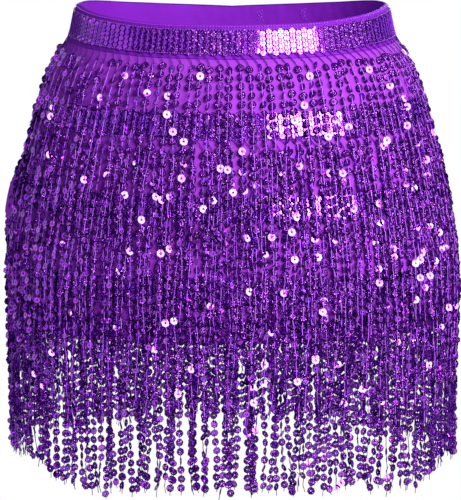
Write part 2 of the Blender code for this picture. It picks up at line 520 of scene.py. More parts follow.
def start_material(name: str) -> tuple[bpy.types.Material, bpy.types.NodeTree, bpy.types.Node]:
    """Start a material.

    Args:
        name: the material's name.

    Returns:
        The material, its tree and its Principled shader.
    """
    material = bpy.data.materials.new(name)
    material.use_nodes = True
    tree = material.node_tree
    return material, tree, tree.nodes["Principled BSDF"]


@dataclass(frozen=True)
class JerseyFinish:
    """Stretch jersey of dyed nylon and elastane, knitted fine: it soaks up light, with a faint sheen."""

    name: str
    colour: str
    shade: str
    wale_mm: float = 1.3
    course_mm: float = 1.1
    wale_share: float = 1.2
    knit_mm: float = 0.15
    knit_strength: float = 0.35
    cloud_scale: float = 28.0
    roughness: float = 0.6
    specular: float = 0.3
    specular_tint: str = "#C07AF0"
    sheen: float = 0.07
    sheen_roughness: float = 0.4
    sheen_tint: str = "#B860F0"

    def knit_height(self, tree: bpy.types.NodeTree) -> bpy.types.NodeSocket:
        """Draw the knit's V-shaped loops as a height, by lengths round and down the cloth.

        The real wales are about 0.4 mm apart. They are drawn three times as coarse, so that they show.

        Args:
            tree: the material's tree.

        Returns:
            A height from 0 to 1.
        """
        place = add_node(tree, "ShaderNodeUVMap", uv_map="cloth")
        axes = add_node(tree, "ShaderNodeSeparateXYZ", {0: place.outputs["UV"]})
        wales = add_node(
            tree,
            "ShaderNodeMath",
            {0: axes.outputs["X"], 1: 1.0 / (self.wale_mm * MM)},
            operation="MULTIPLY",
        )
        saw = add_node(
            tree, "ShaderNodeMath", {0: wales.outputs["Value"], 1: 0.5}, operation="PINGPONG"
        )
        courses = add_node(
            tree,
            "ShaderNodeMath",
            {0: axes.outputs["Y"], 1: 1.0 / (self.course_mm * MM), 2: saw.outputs["Value"]},
            operation="MULTIPLY_ADD",
        )
        turns = add_node(
            tree, "ShaderNodeMath", {0: courses.outputs["Value"], 1: math.tau}, operation="MULTIPLY"
        )
        loops = add_node(tree, "ShaderNodeMath", {0: turns.outputs["Value"]}, operation="SINE")
        ridge = add_node(
            tree,
            "ShaderNodeMath",
            {0: saw.outputs["Value"], 1: self.wale_share, 2: loops.outputs["Value"]},
            operation="MULTIPLY_ADD",
        )
        return ridge.outputs["Value"]

    def material(self) -> bpy.types.Material:
        """Build the material.

        Returns:
            A Principled material with knit loops in its bump and a slight cloudiness in its dye.
        """
        material, tree, shader = start_material(self.name)
        place = add_node(tree, "ShaderNodeTexCoord").outputs["Object"]
        cloud = add_node(
            tree, "ShaderNodeTexNoise", {"Vector": place, "Scale": self.cloud_scale, "Detail": 3.0}
        )
        tint = add_node(
            tree,
            "ShaderNodeMix",
            {"Factor": cloud.outputs["Fac"], 6: srgb(self.shade), 7: srgb(self.colour)},
            data_type="RGBA",
        )
        bump = add_node(
            tree,
            "ShaderNodeBump",
            {
                "Height": self.knit_height(tree),
                "Strength": self.knit_strength,
                "Distance": self.knit_mm * MM,
            },
        )
        fill_inputs(
            shader,
            {
                "Base Color": tint.outputs[2],
                "Normal": bump.outputs["Normal"],
                "Roughness": self.roughness,
                "Specular IOR Level": self.specular,
                "Specular Tint": srgb(self.specular_tint),
                "Sheen Weight": self.sheen,
                "Sheen Roughness": self.sheen_roughness,
                "Sheen Tint": srgb(self.sheen_tint),
            },
        )
        return material


@dataclass(frozen=True)
class SequinFinish:
    """Polyester film, metallised, dyed violet, embossed with fine glitter dots and lacquered.

    A sequin that faces a light mirrors it white. Elsewhere the film is nearly as dark as what it
    faces, and the dots, which are rougher and face all ways, give small dim sparks.
    """

    name: str
    dark: str
    middle: str
    light: str
    spark: str = "#AE5CD2"
    dot_mm: float = 0.45
    dot_tilt: float = 0.46
    dot_share: float = 0.34
    film_roughness: float = 0.065
    dot_roughness: float = 0.44
    bare_roughness: float = 0.6
    lacquer_ior: float = 1.35
    rim_start: float = 0.64
    rim_width: float = 0.16
    # The rim and the ring round the hole lose tint and lacquer as painted shade
    rim_painted_shade: float = 0.25
    rim_lacquer: float = 1.0
    hole_painted_shade: float = 0.05
    hole_reach: float = 0.2
    hole_blur: float = 0.04

    def dots(
        self, tree: bpy.types.NodeTree
    ) -> tuple[bpy.types.NodeSocket, bpy.types.NodeSocket]:
        """Draw the glitter dots as cells, some of which face another way.

        The real emboss is about 0.3 mm. It is drawn a little coarser, so that it shows.

        Args:
            tree: the material's tree.

        Returns:
            Which cells are dots, as 0 or 1, and the direction that the metal faces.
        """
        place = add_node(tree, "ShaderNodeTexCoord").outputs["Object"]
        cells = add_node(
            tree,
            "ShaderNodeTexVoronoi",
            {"Vector": place, "Scale": 1.0 / (self.dot_mm * MM)},
        )
        parts = add_node(tree, "ShaderNodeSeparateColor", {"Color": cells.outputs["Color"]})
        dot = add_node(
            tree,
            "ShaderNodeMath",
            {0: parts.outputs["Red"], 1: self.dot_share},
            operation="LESS_THAN",
        )
        reach = add_node(
            tree, "ShaderNodeMath", {0: dot.outputs["Value"], 1: self.dot_tilt}, operation="MULTIPLY"
        )
        other = add_node(
            tree,
            "ShaderNodeTexWhiteNoise",
            {"Vector": cells.outputs["Color"]},
            noise_dimensions="3D",
        )
        centred = add_node(
            tree,
            "ShaderNodeVectorMath",
            {0: other.outputs["Color"], 1: (0.5, 0.5, 0.5)},
            operation="SUBTRACT",
        )
        ways = add_node(
            tree, "ShaderNodeVectorMath", {0: centred.outputs["Vector"]}, operation="NORMALIZE"
        )
        scaled = add_node(
            tree,
            "ShaderNodeVectorMath",
            {0: ways.outputs["Vector"], "Scale": reach.outputs["Value"]},
            operation="SCALE",
        )
        facing = add_node(tree, "ShaderNodeNewGeometry")
        turned = add_node(
            tree,
            "ShaderNodeVectorMath",
            {0: facing.outputs["Normal"], 1: scaled.outputs["Vector"]},
            operation="ADD",
        )
        unit = add_node(
            tree, "ShaderNodeVectorMath", {0: turned.outputs["Vector"]}, operation="NORMALIZE"
        )
        return dot.outputs["Value"], unit.outputs["Vector"]

    def edge_shares(
        self, tree: bpy.types.NodeTree
    ) -> tuple[bpy.types.NodeSocket, bpy.types.NodeSocket]:
        """Work out what a sequin keeps of its tint and its lacquer, from its rim to its hole, where it
        is darkened as painted shade.

        Args:
            tree: the material's tree.

        Returns:
            The share of the tint and the share of the lacquer. Both follow the edge attribute,
            which is 1 on the rim and 0 at the hole.
        """
        edge = add_node(tree, "ShaderNodeAttribute", attribute_name="edge").outputs["Fac"]
        rims = [
            add_node(
                tree,
                "ShaderNodeMapRange",
                {
                    "Value": edge,
                    "From Min": self.rim_start,
                    "From Max": self.rim_start + self.rim_width,
                    "To Min": 1.0,
                    "To Max": lowest,
                },
            )
            for lowest in (self.rim_painted_shade, self.rim_lacquer)
        ]
        hole = add_node(
            tree,
            "ShaderNodeMapRange",
            {
                "Value": edge,
                "From Min": self.hole_reach - self.hole_blur,
                "From Max": self.hole_reach + self.hole_blur,
                "To Min": self.hole_painted_shade,
                "To Max": 1.0,
            },
        )
        tint, lacquer = (
            add_node(
                tree,
                "ShaderNodeMath",
                {0: rim.outputs["Result"], 1: hole.outputs["Result"]},
                operation="MULTIPLY",
            ).outputs["Value"]
            for rim in rims
        )
        return tint, lacquer

    def material(self) -> bpy.types.Material:
        """Build the material.

        Returns:
            A Principled metal whose tint changes from sequin to sequin by the tone attribute. It is
            darker on the pressed rim, and dull and dark round the pierced hole; the dark at both is
            painted shade.
        """
        material, tree, shader = start_material(self.name)
        tone = add_node(tree, "ShaderNodeAttribute", attribute_name="tone").outputs["Fac"]
        ramp = add_node(tree, "ShaderNodeValToRGB", {"Fac": tone})
        ramp.color_ramp.elements[0].color = srgb(self.dark)
        ramp.color_ramp.elements[1].color = srgb(self.light)
        ramp.color_ramp.elements.new(0.5).color = srgb(self.middle)
        dot, facing = self.dots(tree)
        tint = add_node(
            tree,
            "ShaderNodeMix",
            {"Factor": dot, 6: ramp.outputs["Color"], 7: srgb(self.spark)},
            data_type="RGBA",
        )
        rough = add_node(
            tree,
            "ShaderNodeMix",
            {"Factor": dot, 2: self.film_roughness, 3: self.dot_roughness},
        )
        # Painted shade: darker tint and less lacquer on the rim and round the hole
        shade, coat = self.edge_shares(tree)
        shaded = add_node(
            tree,
            "ShaderNodeVectorMath",
            {0: tint.outputs[2], "Scale": shade},
            operation="SCALE",
        )
        dulled = add_node(
            tree,
            "ShaderNodeMix",
            {"Factor": coat, 2: self.bare_roughness, 3: rough.outputs[0]},
        )
        fill_inputs(
            shader,
            {
                "Base Color": shaded.outputs["Vector"],
                "Roughness": dulled.outputs[0],
                "Coat Weight": coat,
                "Normal": facing,
                "Metallic": 1.0,
                "Coat Roughness": self.film_roughness,
                "Coat IOR": self.lacquer_ior,
            },
        )
        return material


@dataclass(frozen=True)
class ThreadFinish:
    """Dyed polyester filament thread: a fine shine along it, broken up by its twist."""

    name: str
    colour: str
    roughness: float = 0.3
    shine: float = 0.8
    shine_tint: str = "#B070F0"
    twist_scale: float = 620.0
    twist_play: float = 1.5
    twist_strength: float = 0.4
    twist_mm: float = 0.1

    def material(self) -> bpy.types.Material:
        """Build the material.

        Returns:
            A Principled material with the thread's twist drawn as fine bands in its bump.
        """
        material, tree, shader = start_material(self.name)
        place = add_node(tree, "ShaderNodeTexCoord").outputs["Object"]
        twist = add_node(
            tree,
            "ShaderNodeTexWave",
            {"Vector": place, "Scale": self.twist_scale, "Distortion": self.twist_play},
            bands_direction="DIAGONAL",
        )
        bump = add_node(
            tree,
            "ShaderNodeBump",
            {
                "Height": twist.outputs["Fac"],
                "Strength": self.twist_strength,
                "Distance": self.twist_mm * MM,
            },
        )
        fill_inputs(
            shader,
            {
                "Normal": bump.outputs["Normal"],
                "Base Color": srgb(self.colour),
                "Roughness": self.roughness,
                "Specular IOR Level": self.shine,
                "Specular Tint": srgb(self.shine_tint),
            },
        )
        return material


# Bright matt violet cloth, and the same cloth over the elastic, which is darker as painted shade for the
# dim inside of the band
BODY_JERSEY = JerseyFinish("violet_jersey_knitted", "#9036B6", "#8430A6")
BAND_JERSEY_PAINTED_SHADE = JerseyFinish("violet_jersey_over_elastic_painted_shade", "#721CA4", "#661694")
# Open net under the tapes' sequins: it shows only as dark gaps
TAPE_NET = JerseyFinish("purple_tape_net", "#43107A", "#330A62", wale_mm=1.6, roughness=0.7)
# Loose sequins flash white or go dark as they turn, and painted shade on their holes and rims draws them
# apart
STRAND_SEQUIN = SequinFinish(
    "violet_sequin_film_on_strands", "#7006BE", "#961ADE", "#CA48FA", dot_share=0.28, rim_painted_shade=0.06
)
# Sewn sequins lie even, so a whole block flashes at once, and rims painted dark and dull, as painted
# shade between the overlapping rows, keep its rows apart
TAPE_SEQUIN = SequinFinish(
    "violet_sequin_film_on_tape",
    "#640AA4",
    "#8618C2",
    "#BC44EC",
    rim_start=0.76,
    rim_painted_shade=0.04,
    rim_lacquer=0.05,
    hole_painted_shade=0.5,
    hole_reach=0.06,
)
# Threads in four dyes: the brighter ones glint between the sequins, the dark one only draws lines, and
# on the lowest tier's strands it is a darker copy of the strand thread, as painted shade
LIGHT_THREAD = ThreadFinish("light_purple_thread", "#9440C4")
STRAND_THREAD = ThreadFinish("violet_strand_thread", "#B466E6", shine=0.5)
TAPE_THREAD = ThreadFinish("violet_tape_thread", "#7A30B8", shine=0.3)
DARK_THREAD = ThreadFinish("dark_purple_thread", "#3C0C72", shine=0.12)


def link_object(name: str, mesh: bpy.types.Mesh) -> bpy.types.Object:
    """Put a mesh in the scene as an object at the origin.

    Args:
        name: the object's name.
        mesh: its mesh.

    Returns:
        The object.
    """
    piece = bpy.data.objects.new(name, mesh)
    bpy.context.scene.collection.objects.link(piece)
    return piece


def mesh_object(name: str, data: bmesh.types.BMesh, sharp_degrees: float = 50.0) -> bpy.types.Object:
    """Make an object from a closed bmesh, with its faces out and smooth but for sharp edges.

    Args:
        name: the object's and the mesh's name.
        data: the shape, which is freed.
        sharp_degrees: edges that turn more than this stay sharp.

    Returns:
        The object, linked to the scene.
    """
    bmesh.ops.recalc_face_normals(data, faces=data.faces[:])
    mesh = bpy.data.meshes.new(name)
    data.to_mesh(mesh)
    data.free()
    mesh.shade_smooth()
    mesh.set_sharp_from_angle(angle=math.radians(sharp_degrees))
    return link_object(name, mesh)


def lines_object(name: str, lines: list[Line]) -> bpy.types.Object:
    """Make an object of loose lines that carry a direction, for a Geometry Nodes tree to follow.

    Args:
        name: the object's name.
        lines: each line's points, with the direction that points out of the cloth there.

    Returns:
        The object, with the attributes outward, line, slack, which runs from 0 where a line
        starts to 1 where it ends, and pace, a chance from -1 to 1 that is the same all along a line.
    """
    points, outwards, numbers, slacks, paces, edges = [], [], [], [], [], []
    rng = random.Random(name)
    for number, line in enumerate(lines):
        pace = rng.uniform(-1.0, 1.0)
        first = len(points)
        for step, (place, outward) in enumerate(line):
            points.append(place)
            outwards.extend(outward)
            numbers.append(float(number))
            slacks.append(step / (len(line) - 1))
            paces.append(pace)
        edges.extend((i, i + 1) for i in range(first, len(points) - 1))
    mesh = bpy.data.meshes.new(name)
    mesh.from_pydata(points, edges, [])
    mesh.attributes.new("outward", "FLOAT_VECTOR", "POINT").data.foreach_set("vector", outwards)
    for attribute, values in (("line", numbers), ("slack", slacks), ("pace", paces)):
        mesh.attributes.new(attribute, "FLOAT", "POINT").data.foreach_set("value", values)
    return link_object(name, mesh)


class NodeRecipe:
    """A Geometry Nodes tree with named inputs, which turns a piece's guide lines into its mesh."""

    def __init__(self, name: str) -> None:
        """Start a tree that takes and gives geometry.

        Args:
            name: the tree's name.
        """
        self.tree = bpy.data.node_groups.new(name, "GeometryNodeTree")
        self.tree.interface.new_socket("Geometry", in_out="INPUT", socket_type="NodeSocketGeometry")
        self.tree.interface.new_socket("Geometry", in_out="OUTPUT", socket_type="NodeSocketGeometry")
        self.identifiers: dict[str, str] = {}

    def add_input(self, name: str, kind: str, value: float | int | None = None) -> None:
        """Add a named input.

        Args:
            name: its name.
            kind: its socket's type.
            value: its usual value, for a kind that has one.
        """
        socket = self.tree.interface.new_socket(name, in_out="INPUT", socket_type=kind)
        if value is not None:
            socket.default_value = value
        self.identifiers[name] = socket.identifier

    def start(self) -> bpy.types.NodeSocket:
        """Open the tree's inputs, once all are added, and turn its guide lines into curves.

        Returns:
            The curves.
        """
        self.given = add_node(self.tree, "NodeGroupInput").outputs
        curve = add_node(self.tree, "GeometryNodeMeshToCurve", {"Mesh": self.given["Geometry"]})
        return curve.outputs["Curve"]

    def facing(self, along: bpy.types.NodeSocket, axis: str) -> bpy.types.NodeSocket:
        """Turn a part's own axis along a direction, and then its face out of the cloth.

        Args:
            along: the direction.
            axis: the part's axis, X or Y.

        Returns:
            The rotation.
        """
        outward = add_node(
            self.tree,
            "GeometryNodeInputNamedAttribute",
            {"Name": "outward"},
            data_type="FLOAT_VECTOR",
        )
        laid = add_node(
            self.tree, "FunctionNodeAlignRotationToVector", {"Vector": along}, axis=axis
        )
        facing = add_node(
            self.tree,
            "FunctionNodeAlignRotationToVector",
            {"Rotation": laid.outputs["Rotation"], "Vector": outward.outputs["Attribute"]},
            axis="Z",
            pivot_axis=axis,
        )
        return facing.outputs["Rotation"]

    def set_parts(
        self,
        places: bpy.types.NodeSocket,
        part: str,
        facing: bpy.types.NodeSocket,
        swing: bpy.types.NodeSocket,
    ) -> bpy.types.NodeSocket:
        """Put a loose part at every place.

        Args:
            places: the points that get one.
            part: the input that names the part.
            facing: the rotation that it has there.
            swing: the turns that it makes from there, about its own axes, in radians.

        Returns:
            The parts, as instances.
        """
        shape = add_node(self.tree, "GeometryNodeObjectInfo", {"Object": self.given[part]})
        turns = add_node(self.tree, "FunctionNodeEulerToRotation", {0: swing})
        turned = add_node(
            self.tree,
            "FunctionNodeRotateRotation",
            {"Rotation": facing, "Rotate By": turns.outputs["Rotation"]},
            rotation_space="LOCAL",
        )
        placed = add_node(
            self.tree,
            "GeometryNodeInstanceOnPoints",
            {
                "Points": places,
                "Instance": shape.outputs["Geometry"],
                "Rotation": turned.outputs["Rotation"],
            },
        )
        return placed.outputs["Instances"]

    def finish(self, geometry: bpy.types.NodeSocket) -> None:
        """End the tree in Realize Instances and Set Material.

        Args:
            geometry: what the tree has made.
        """
        real = add_node(self.tree, "GeometryNodeRealizeInstances", {"Geometry": geometry})
        dressed = add_node(
            self.tree,
            "GeometryNodeSetMaterial",
            {"Geometry": real.outputs["Geometry"], "Material": self.given["Material"]},
        )
        add_node(self.tree, "NodeGroupOutput", {0: dressed.outputs["Geometry"]})

    def make(self, guide: bpy.types.Object, name: str, values: dict[str, object]) -> bpy.types.Object:
        """Run the tree on a guide and keep the result as a plain mesh.

        Args:
            guide: the object with the guide lines, which is removed.
            name: the finished piece's name.
            values: an input's value by its name.

        Returns:
            The finished piece.
        """
        modifier = guide.modifiers.new(self.tree.name, "NODES")
        modifier.node_group = self.tree
        for key, value in values.items():
            modifier[self.identifiers[key]] = value
        bpy.context.view_layer.update()
        ready = guide.evaluated_get(bpy.context.evaluated_depsgraph_get())
        mesh = bpy.data.meshes.new_from_object(ready)
        mesh.name = name
        guide.modifiers.remove(modifier)
        bpy.data.objects.remove(guide)
        return link_object(name, mesh)


class SequinRecipe(NodeRecipe):
    """Threads sequins on lines.

    Each sequin faces out of the cloth, leans by Lean, turns with its thread by Twist and is knocked
    about by Loose, all in radians. Slack is what Loose gains down the thread, and Ply is how fast
    the thread's turn changes with height. Spacing changes from line to line by Uneven, in metres.
    """

    USUAL: dict[str, float] = {
        "Spacing": 0.0065,
        "Uneven": 0.0,
        "Lean": 0.0,
        "Twist": 1.0,
        "Loose": 0.1,
        "Slack": 0.0,
        "Ply": 60.0,
    }
    # Neighbouring lines lie this far apart in the noise, which is stretched to about a turn of 1
    LINE_STEP = 3.7
    TURN_REACH = 4.0
    # Added to the seed for the second of the two chances that are summed
    SECOND_SEED = 50.0

    def __init__(self) -> None:
        """Build the tree."""
        super().__init__("sequins_on_thread")
        for name, value in self.USUAL.items():
            self.add_input(name, "NodeSocketFloat", value)
        self.add_input("Seed", "NodeSocketInt", 1)
        self.add_input("Sequin", "NodeSocketObject")
        self.add_input("Material", "NodeSocketMaterial")
        beads = self.beads(self.start())
        tangent = add_node(self.tree, "GeometryNodeInputTangent")
        up = add_node(
            self.tree,
            "ShaderNodeVectorMath",
            {0: tangent.outputs["Tangent"], "Scale": -1.0},
            operation="SCALE",
        )
        facing = self.facing(up.outputs["Vector"], "Y")
        lean = add_node(
            self.tree, "ShaderNodeCombineXYZ", {"X": self.given["Lean"], "Y": self.yaw(), "Z": 0.0}
        )
        swing = add_node(
            self.tree,
            "ShaderNodeVectorMath",
            {0: lean.outputs["Vector"], 1: self.knock()},
            operation="ADD",
        )
        placed = self.set_parts(beads, "Sequin", facing, swing.outputs["Vector"])
        tone = add_node(
            self.tree,
            "FunctionNodeRandomValue",
            {2: 0.0, 3: 1.0, "Seed": self.given["Seed"]},
            data_type="FLOAT",
        )
        toned = add_node(
            self.tree,
            "GeometryNodeStoreNamedAttribute",
            {"Geometry": placed, "Name": "tone", "Value": tone.outputs[1]},
            data_type="FLOAT",
            domain="INSTANCE",
        )
        self.finish(toned.outputs["Geometry"])

    def beads(self, curve: bpy.types.NodeSocket) -> bpy.types.NodeSocket:
        """Divide each line into steps, a little longer or shorter from line to line.

        Args:
            curve: the guide lines.

        Returns:
            The places of the sequins.
        """
        pace = add_node(
            self.tree, "GeometryNodeInputNamedAttribute", {"Name": "pace"}, data_type="FLOAT"
        )
        apart = add_node(
            self.tree,
            "ShaderNodeMath",
            {0: pace.outputs["Attribute"], 1: self.given["Uneven"], 2: self.given["Spacing"]},
            operation="MULTIPLY_ADD",
        )
        beads = add_node(
            self.tree,
            "GeometryNodeResampleCurve",
            {"Curve": curve, "Length": apart.outputs["Value"]},
            mode="LENGTH",
        )
        return beads.outputs["Curve"]

    def yaw(self) -> bpy.types.NodeSocket:
        """Turn the sequins with their thread's ply, which drifts slowly down each line.

        Returns:
            The turn round the thread in radians.
        """
        tree = self.tree
        line = add_node(tree, "GeometryNodeInputNamedAttribute", {"Name": "line"}, data_type="FLOAT")
        place = add_node(tree, "GeometryNodeInputPosition")
        height = add_node(tree, "ShaderNodeSeparateXYZ", {0: place.outputs["Position"]})
        down = add_node(
            tree,
            "ShaderNodeMath",
            {0: height.outputs["Z"], 1: self.given["Ply"]},
            operation="MULTIPLY",
        )
        strand = add_node(
            tree,
            "ShaderNodeMath",
            {0: line.outputs["Attribute"], 1: self.LINE_STEP},
            operation="MULTIPLY",
        )
        ply = add_node(
            tree,
            "ShaderNodeCombineXYZ",
            {"X": down.outputs["Value"], "Y": strand.outputs["Value"], "Z": self.given["Seed"]},
        )
        drift = add_node(
            tree,
            "ShaderNodeTexNoise",
            {"Vector": ply.outputs["Vector"], "Scale": 1.0, "Detail": 1.0},
        )
        centred = add_node(
            tree, "ShaderNodeMath", {0: drift.outputs["Fac"], 1: 0.5}, operation="SUBTRACT"
        )
        spread = add_node(
            tree,
            "ShaderNodeMath",
            {0: centred.outputs["Value"], 1: self.TURN_REACH},
            operation="MULTIPLY",
        )
        yaw = add_node(
            tree,
            "ShaderNodeMath",
            {0: spread.outputs["Value"], 1: self.given["Twist"]},
            operation="MULTIPLY",
        )
        return yaw.outputs["Value"]

    def knock(self) -> bpy.types.NodeSocket:
        """Knock each sequin about by the sum of two chances, more so towards its line's end.

        Returns:
            The turns about three axes in radians.
        """
        tree = self.tree
        slack = add_node(
            tree, "GeometryNodeInputNamedAttribute", {"Name": "slack"}, data_type="FLOAT"
        )
        reach = add_node(
            tree,
            "ShaderNodeMath",
            {0: slack.outputs["Attribute"], 1: self.given["Slack"], 2: self.given["Loose"]},
            operation="MULTIPLY_ADD",
        )
        other_seed = add_node(
            tree, "ShaderNodeMath", {0: self.given["Seed"], 1: self.SECOND_SEED}, operation="ADD"
        )
        chances = [
            add_node(
                tree,
                "FunctionNodeRandomValue",
                {0: (-1.0, -1.0, -1.0), 1: (1.0, 1.0, 1.0), "Seed": seed},
                data_type="FLOAT_VECTOR",
            )
            for seed in (self.given["Seed"], other_seed.outputs["Value"])
        ]
        chance = add_node(
            tree,
            "ShaderNodeVectorMath",
            {0: chances[0].outputs[0], 1: chances[1].outputs[0]},
            operation="ADD",
        )
        knock = add_node(
            tree,
            "ShaderNodeVectorMath",
            {0: chance.outputs["Vector"], "Scale": reach.outputs["Value"]},
            operation="SCALE",
        )
        return knock.outputs["Vector"]


class ThreadRecipe(NodeRecipe):
    """Lays a thin thread on lines. Radius is in metres."""

    def __init__(self) -> None:
        """Build the tree."""
        super().__init__("thread_on_lines")
        self.add_input("Radius", "NodeSocketFloat", 0.00022)
        self.add_input("Sides", "NodeSocketInt", 3)
        self.add_input("Material", "NodeSocketMaterial")
        curve = self.start()
        section = add_node(
            self.tree,
            "GeometryNodeCurvePrimitiveCircle",
            {"Resolution": self.given["Sides"], "Radius": self.given["Radius"]},
        )
        swept = add_node(
            self.tree,
            "GeometryNodeCurveToMesh",
            {"Curve": curve, "Profile Curve": section.outputs["Curve"], "Fill Caps": True},
        )
        self.finish(swept.outputs["Mesh"])


class StitchRecipe(NodeRecipe):
    """Sews a row of stitches along lines. Pitch is in metres and Loose in radians."""

    def __init__(self) -> None:
        """Build the tree."""
        super().__init__("stitches_along_lines")
        self.add_input("Pitch", "NodeSocketFloat", 0.0022)
        self.add_input("Loose", "NodeSocketFloat", 0.2)
        self.add_input("Seed", "NodeSocketInt", 3)
        self.add_input("Stitch", "NodeSocketObject")
        self.add_input("Material", "NodeSocketMaterial")
        places = add_node(
            self.tree,
            "GeometryNodeResampleCurve",
            {"Curve": self.start(), "Length": self.given["Pitch"]},
            mode="LENGTH",
        )
        tangent = add_node(self.tree, "GeometryNodeInputTangent")
        facing = self.facing(tangent.outputs["Tangent"], "X")
        back = add_node(
            self.tree, "ShaderNodeMath", {0: self.given["Loose"], 1: -1.0}, operation="MULTIPLY"
        )
        knock = add_node(
            self.tree,
            "FunctionNodeRandomValue",
            {2: back.outputs["Value"], 3: self.given["Loose"], "Seed": self.given["Seed"]},
            data_type="FLOAT",
        )
        swing = add_node(self.tree, "ShaderNodeCombineXYZ", {"Z": knock.outputs[1]})
        self.finish(
            self.set_parts(places.outputs["Curve"], "Stitch", facing, swing.outputs["Vector"])
        )


@dataclass(frozen=True)
class Workshop:
    """What the sub-assemblies share: the trees, the loose parts that they repeat and the finishes."""

    tube: Tube
    sequins: SequinRecipe
    threads: ThreadRecipe
    stitches: StitchRecipe
    cup: bpy.types.Object
    round_cup: bpy.types.Object
    scale: bpy.types.Object
    stitch: bpy.types.Object
    body_cloth: bpy.types.Material
    band_cloth: bpy.types.Material
    tape_net: bpy.types.Material
    strand_film: bpy.types.Material
    tape_film: bpy.types.Material
    light_thread: bpy.types.Material
    strand_thread: bpy.types.Material
    tape_thread: bpy.types.Material
    dark_thread: bpy.types.Material

    def clear(self) -> None:
        """Remove the loose parts once every piece is made."""
        for part in (self.cup, self.round_cup, self.scale, self.stitch):
            bpy.data.objects.remove(part)


def pressed_sequin(name: str, radius: float, hole: float, depth: float, sides: int) -> bpy.types.Object:
    """Make one sequin as a thin closed dish with a hole, its rim pressed back.

    Args:
        name: the object's name.
        radius: outer radius in millimetres.
        hole: radius of the hole.
        depth: how far the rim lies behind the middle.
        sides: number of corners round.

    Returns:
        The sequin, facing +Z, round the origin. Its attribute edge is 1 on the rim and 0 inside.
    """
    film = 0.1
    rings = ((radius, -depth), (hole, 0.0), (hole, -film))
    data = bmesh.new()
    edge = data.verts.layers.float.new("edge")
    loops = []
    for size, height in rings:
        turns = [math.tau * i / sides for i in range(sides)]
        corners = [(size * math.cos(t) * MM, size * math.sin(t) * MM, height * MM) for t in turns]
        loops.append([data.verts.new(corner) for corner in corners])
    for outer, inner in ((0, 1), (1, 2), (2, 0)):
        for i in range(sides):
            j = (i + 1) % sides
            data.faces.new((loops[outer][i], loops[outer][j], loops[inner][j], loops[inner][i]))
    for corner in loops[0]:
        corner[edge] = 1.0
    return mesh_object(name, data)


def stitch_shape(name: str, length: float, width: float) -> bpy.types.Object:
    """Make one stitch as a thin double cone, long in X.

    Args:
        name: the object's name.
        length: from tip to tip in millimetres.
        width: across its middle.

    Returns:
        The stitch, round the origin.
    """
    data = bmesh.new()
    ends = [data.verts.new((sign * length / 2 * MM, 0, 0)) for sign in (-1, 1)]
    around = [
        data.verts.new((0, math.cos(t) * width / 2 * MM, math.sin(t) * width / 2 * MM))
        for t in (0.0, math.pi / 2, math.pi, 3 * math.pi / 2)
    ]
    for i in range(4):
        j = (i + 1) % 4
        data.faces.new((around[i], around[j], ends[1]))
        data.faces.new((around[j], around[i], ends[0]))
    return mesh_object(name, data, sharp_degrees=120.0)


@dataclass(frozen=True)
class Shell:
    """A thin wall of cloth round the tube, or round part of it, as a closed mesh."""

    tube: Tube
    name: str
    first: float
    last: float
    steps: int
    drops: tuple[float, ...]
    near: float
    far: float
    crease: bool = True
    ripple: float = 0.0
    ripple_scale: float = 17.0
    ripple_slant: float = 0.004
    pucker: float = 0.16
    pucker_scale: float = 42.0
    upper_bulge: float = 0.9

    def place(self, angle: float, drop: float, out: float) -> Vector:
        """A point of the cloth with its creases, its elastic's ripples and the knit's unevenness.

        Args:
            angle: where on the oval.
            drop: how far down.
            out: distance from the tube's own face.

        Returns:
            The point in metres. Only the inner face has ripples.
        """
        if self.crease:
            out += self.tube.folds(angle, drop, SMALL_CREASES, self.tube.crease_ease)
            spot = self.tube.point(angle, drop) * self.pucker_scale
            out += self.pucker * noise.noise(spot)
        if self.ripple and math.isclose(out, self.near):
            around = Vector((math.cos(angle), math.sin(angle), self.ripple_slant * drop))
            out -= self.ripple * abs(noise.noise(around * self.ripple_scale))
        return self.tube.point(angle, drop, out)

    def build(self, material: bpy.types.Material) -> bpy.types.Object:
        """Make the wall: down the outside, round the lower edge and up the inside.

        Args:
            material: the cloth's finish.

        Returns:
            The finished piece.
        """
        closed = math.isclose(self.last - self.first, math.tau)
        count = self.steps if closed else self.steps + 1
        angles = [self.first + (self.last - self.first) * i / self.steps for i in range(count)]
        middle, half = (self.near + self.far) / 2, (self.far - self.near) / 2
        path = [(drop, self.far) for drop in self.drops]
        path.append((self.drops[-1] + half, middle))
        path += [(drop, self.near) for drop in reversed(self.drops)]
        path.append((self.drops[0] - half * self.upper_bulge, middle))
        data = bmesh.new()
        rows = [[data.verts.new(self.place(a, drop, out)) for a in angles] for drop, out in path]
        downs = [drop * MM for drop, _ in path]
        downs.append(downs[0])
        girth = self.tube.girth(self.drops[len(self.drops) // 2]) * MM
        arounds = [girth * (self.first / math.tau + i / self.steps) for i in range(self.steps + 1)]
        cloth_map = data.loops.layers.uv.new("cloth")
        for row, (here, below) in enumerate(zip(rows, rows[1:] + rows[:1])):
            for i in range(self.steps):
                j = (i + 1) % count
                face = data.faces.new((here[i], below[i], below[j], here[j]))
                corners = ((i, row), (i, row + 1), (i + 1, row + 1), (i + 1, row))
                for loop, (across, level) in zip(face.loops, corners):
                    loop[cloth_map].uv = (arounds[across], downs[level])
        if not closed:
            self.close_ends(data, rows)
        piece = mesh_object(self.name, data)
        piece.data.materials.append(material)
        return piece

    def close_ends(self, data: bmesh.types.BMesh, rows: list[list[bmesh.types.BMVert]]) -> None:
        """Close a panel's wall down its two sides.

        Args:
            data: the wall.
            rows: its points, in the order of its path.
        """
        length = len(self.drops)
        for column in (0, self.steps):
            edge = [row[column] for row in rows]
            lower, upper = edge[length], edge[-1]
            outer, inner = edge[:length], edge[length + 1 : -1][::-1]
            data.faces.new((upper, outer[0], inner[0]))
            for k in range(length - 1):
                data.faces.new((inner[k], outer[k], outer[k + 1], inner[k + 1]))
            data.faces.new((inner[-1], outer[-1], lower))


def spread_drops(first: float, last: float, count: int) -> tuple[float, ...]:
    """Even drops from the first to the last."""
    return tuple(first + (last - first) * i / (count - 1) for i in range(count))


